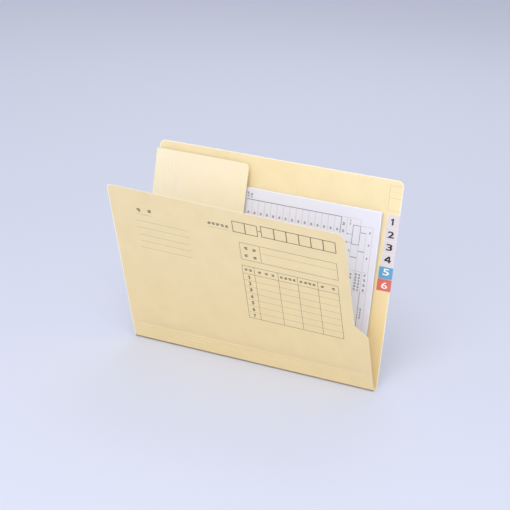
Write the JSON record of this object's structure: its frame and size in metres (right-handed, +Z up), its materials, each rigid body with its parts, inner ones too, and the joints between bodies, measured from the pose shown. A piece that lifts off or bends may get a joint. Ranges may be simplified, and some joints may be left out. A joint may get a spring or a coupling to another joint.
{
  "type": "file folder",
  "caption": "End-tab manila card folder standing open as a V, with a pocket flap holding A4 forms and wrapped numeral labels down its index strip.",
  "frame": {"origin": "middle of the spine strip's underside, on the surface the folder stands on", "axes": "+X along the spine to the right of someone reading the cover, +Y towards the back panel, +Z up"},
  "size_m": [0.3256, 0.1345, 0.2457],
  "materials": {
    "manila_card": "matt manila card with printed form lines",
    "pale_manila_card": "matt manila card, paler inner face",
    "form_paper": "matt white office paper with printed table lines",
    "label_white": "smooth coated label with a dark numeral",
    "label_blue": "smooth coated blue label with a white numeral",
    "label_red": "smooth coated red label with a white numeral"
  },
  "bodies": {
    "spine": {"spine_strip": "manila_card"},
    "back": {"back_panel": "manila_card", "flap_gusset": "pale_manila_card", "numeral_label_1": "label_white", "numeral_label_2": "label_white", "numeral_label_3": "label_white", "numeral_label_4": "label_white", "numeral_label_5": "label_blue", "numeral_label_6": "label_red"},
    "cover": {"front_cover": "manila_card"},
    "flap": {"pocket_flap": "pale_manila_card"},
    "sheet_1": {"form_sheet_1": "form_paper"},
    "sheet_2": {"form_sheet_2": "form_paper"},
    "sheet_3": {"form_sheet_3": "form_paper"}
  },
  "joints": [
    {"name": "back_fold", "type": "hinge", "parent": "spine", "child": "back", "pos_m": [0, 0.005, 0.00025], "axis": [-1, 0, 0], "range_deg": [-9.8, 80.2]},
    {"name": "cover_fold", "type": "hinge", "parent": "spine", "child": "cover", "pos_m": [0, -0.005, 0.00025], "axis": [1, 0, 0], "range_deg": [-19.2, 69.4]},
    {"name": "flap_fold", "type": "hinge", "parent": "back", "child": "flap", "pos_m": [-0.16225, 0.01882, 0.12725], "axis": [0, -0.1702, -0.9854], "range_deg": [-2, 8]},
    {"name": "sheet_1_slide", "type": "slide", "parent": "back", "child": "sheet_1", "axis": [0, 0.1702, 0.9854], "range_m": [0, 0.26]},
    {"name": "sheet_2_slide", "type": "slide", "parent": "back", "child": "sheet_2", "axis": [0, 0.1702, 0.9854], "range_m": [0, 0.26]},
    {"name": "sheet_3_slide", "type": "slide", "parent": "back", "child": "sheet_3", "axis": [0, 0.1702, 0.9854], "range_m": [0, 0.26]}
  ],
  "couplings": [
    {"joint": "flap_fold", "follows": "cover_fold", "ratio": 0.097}
  ]
}
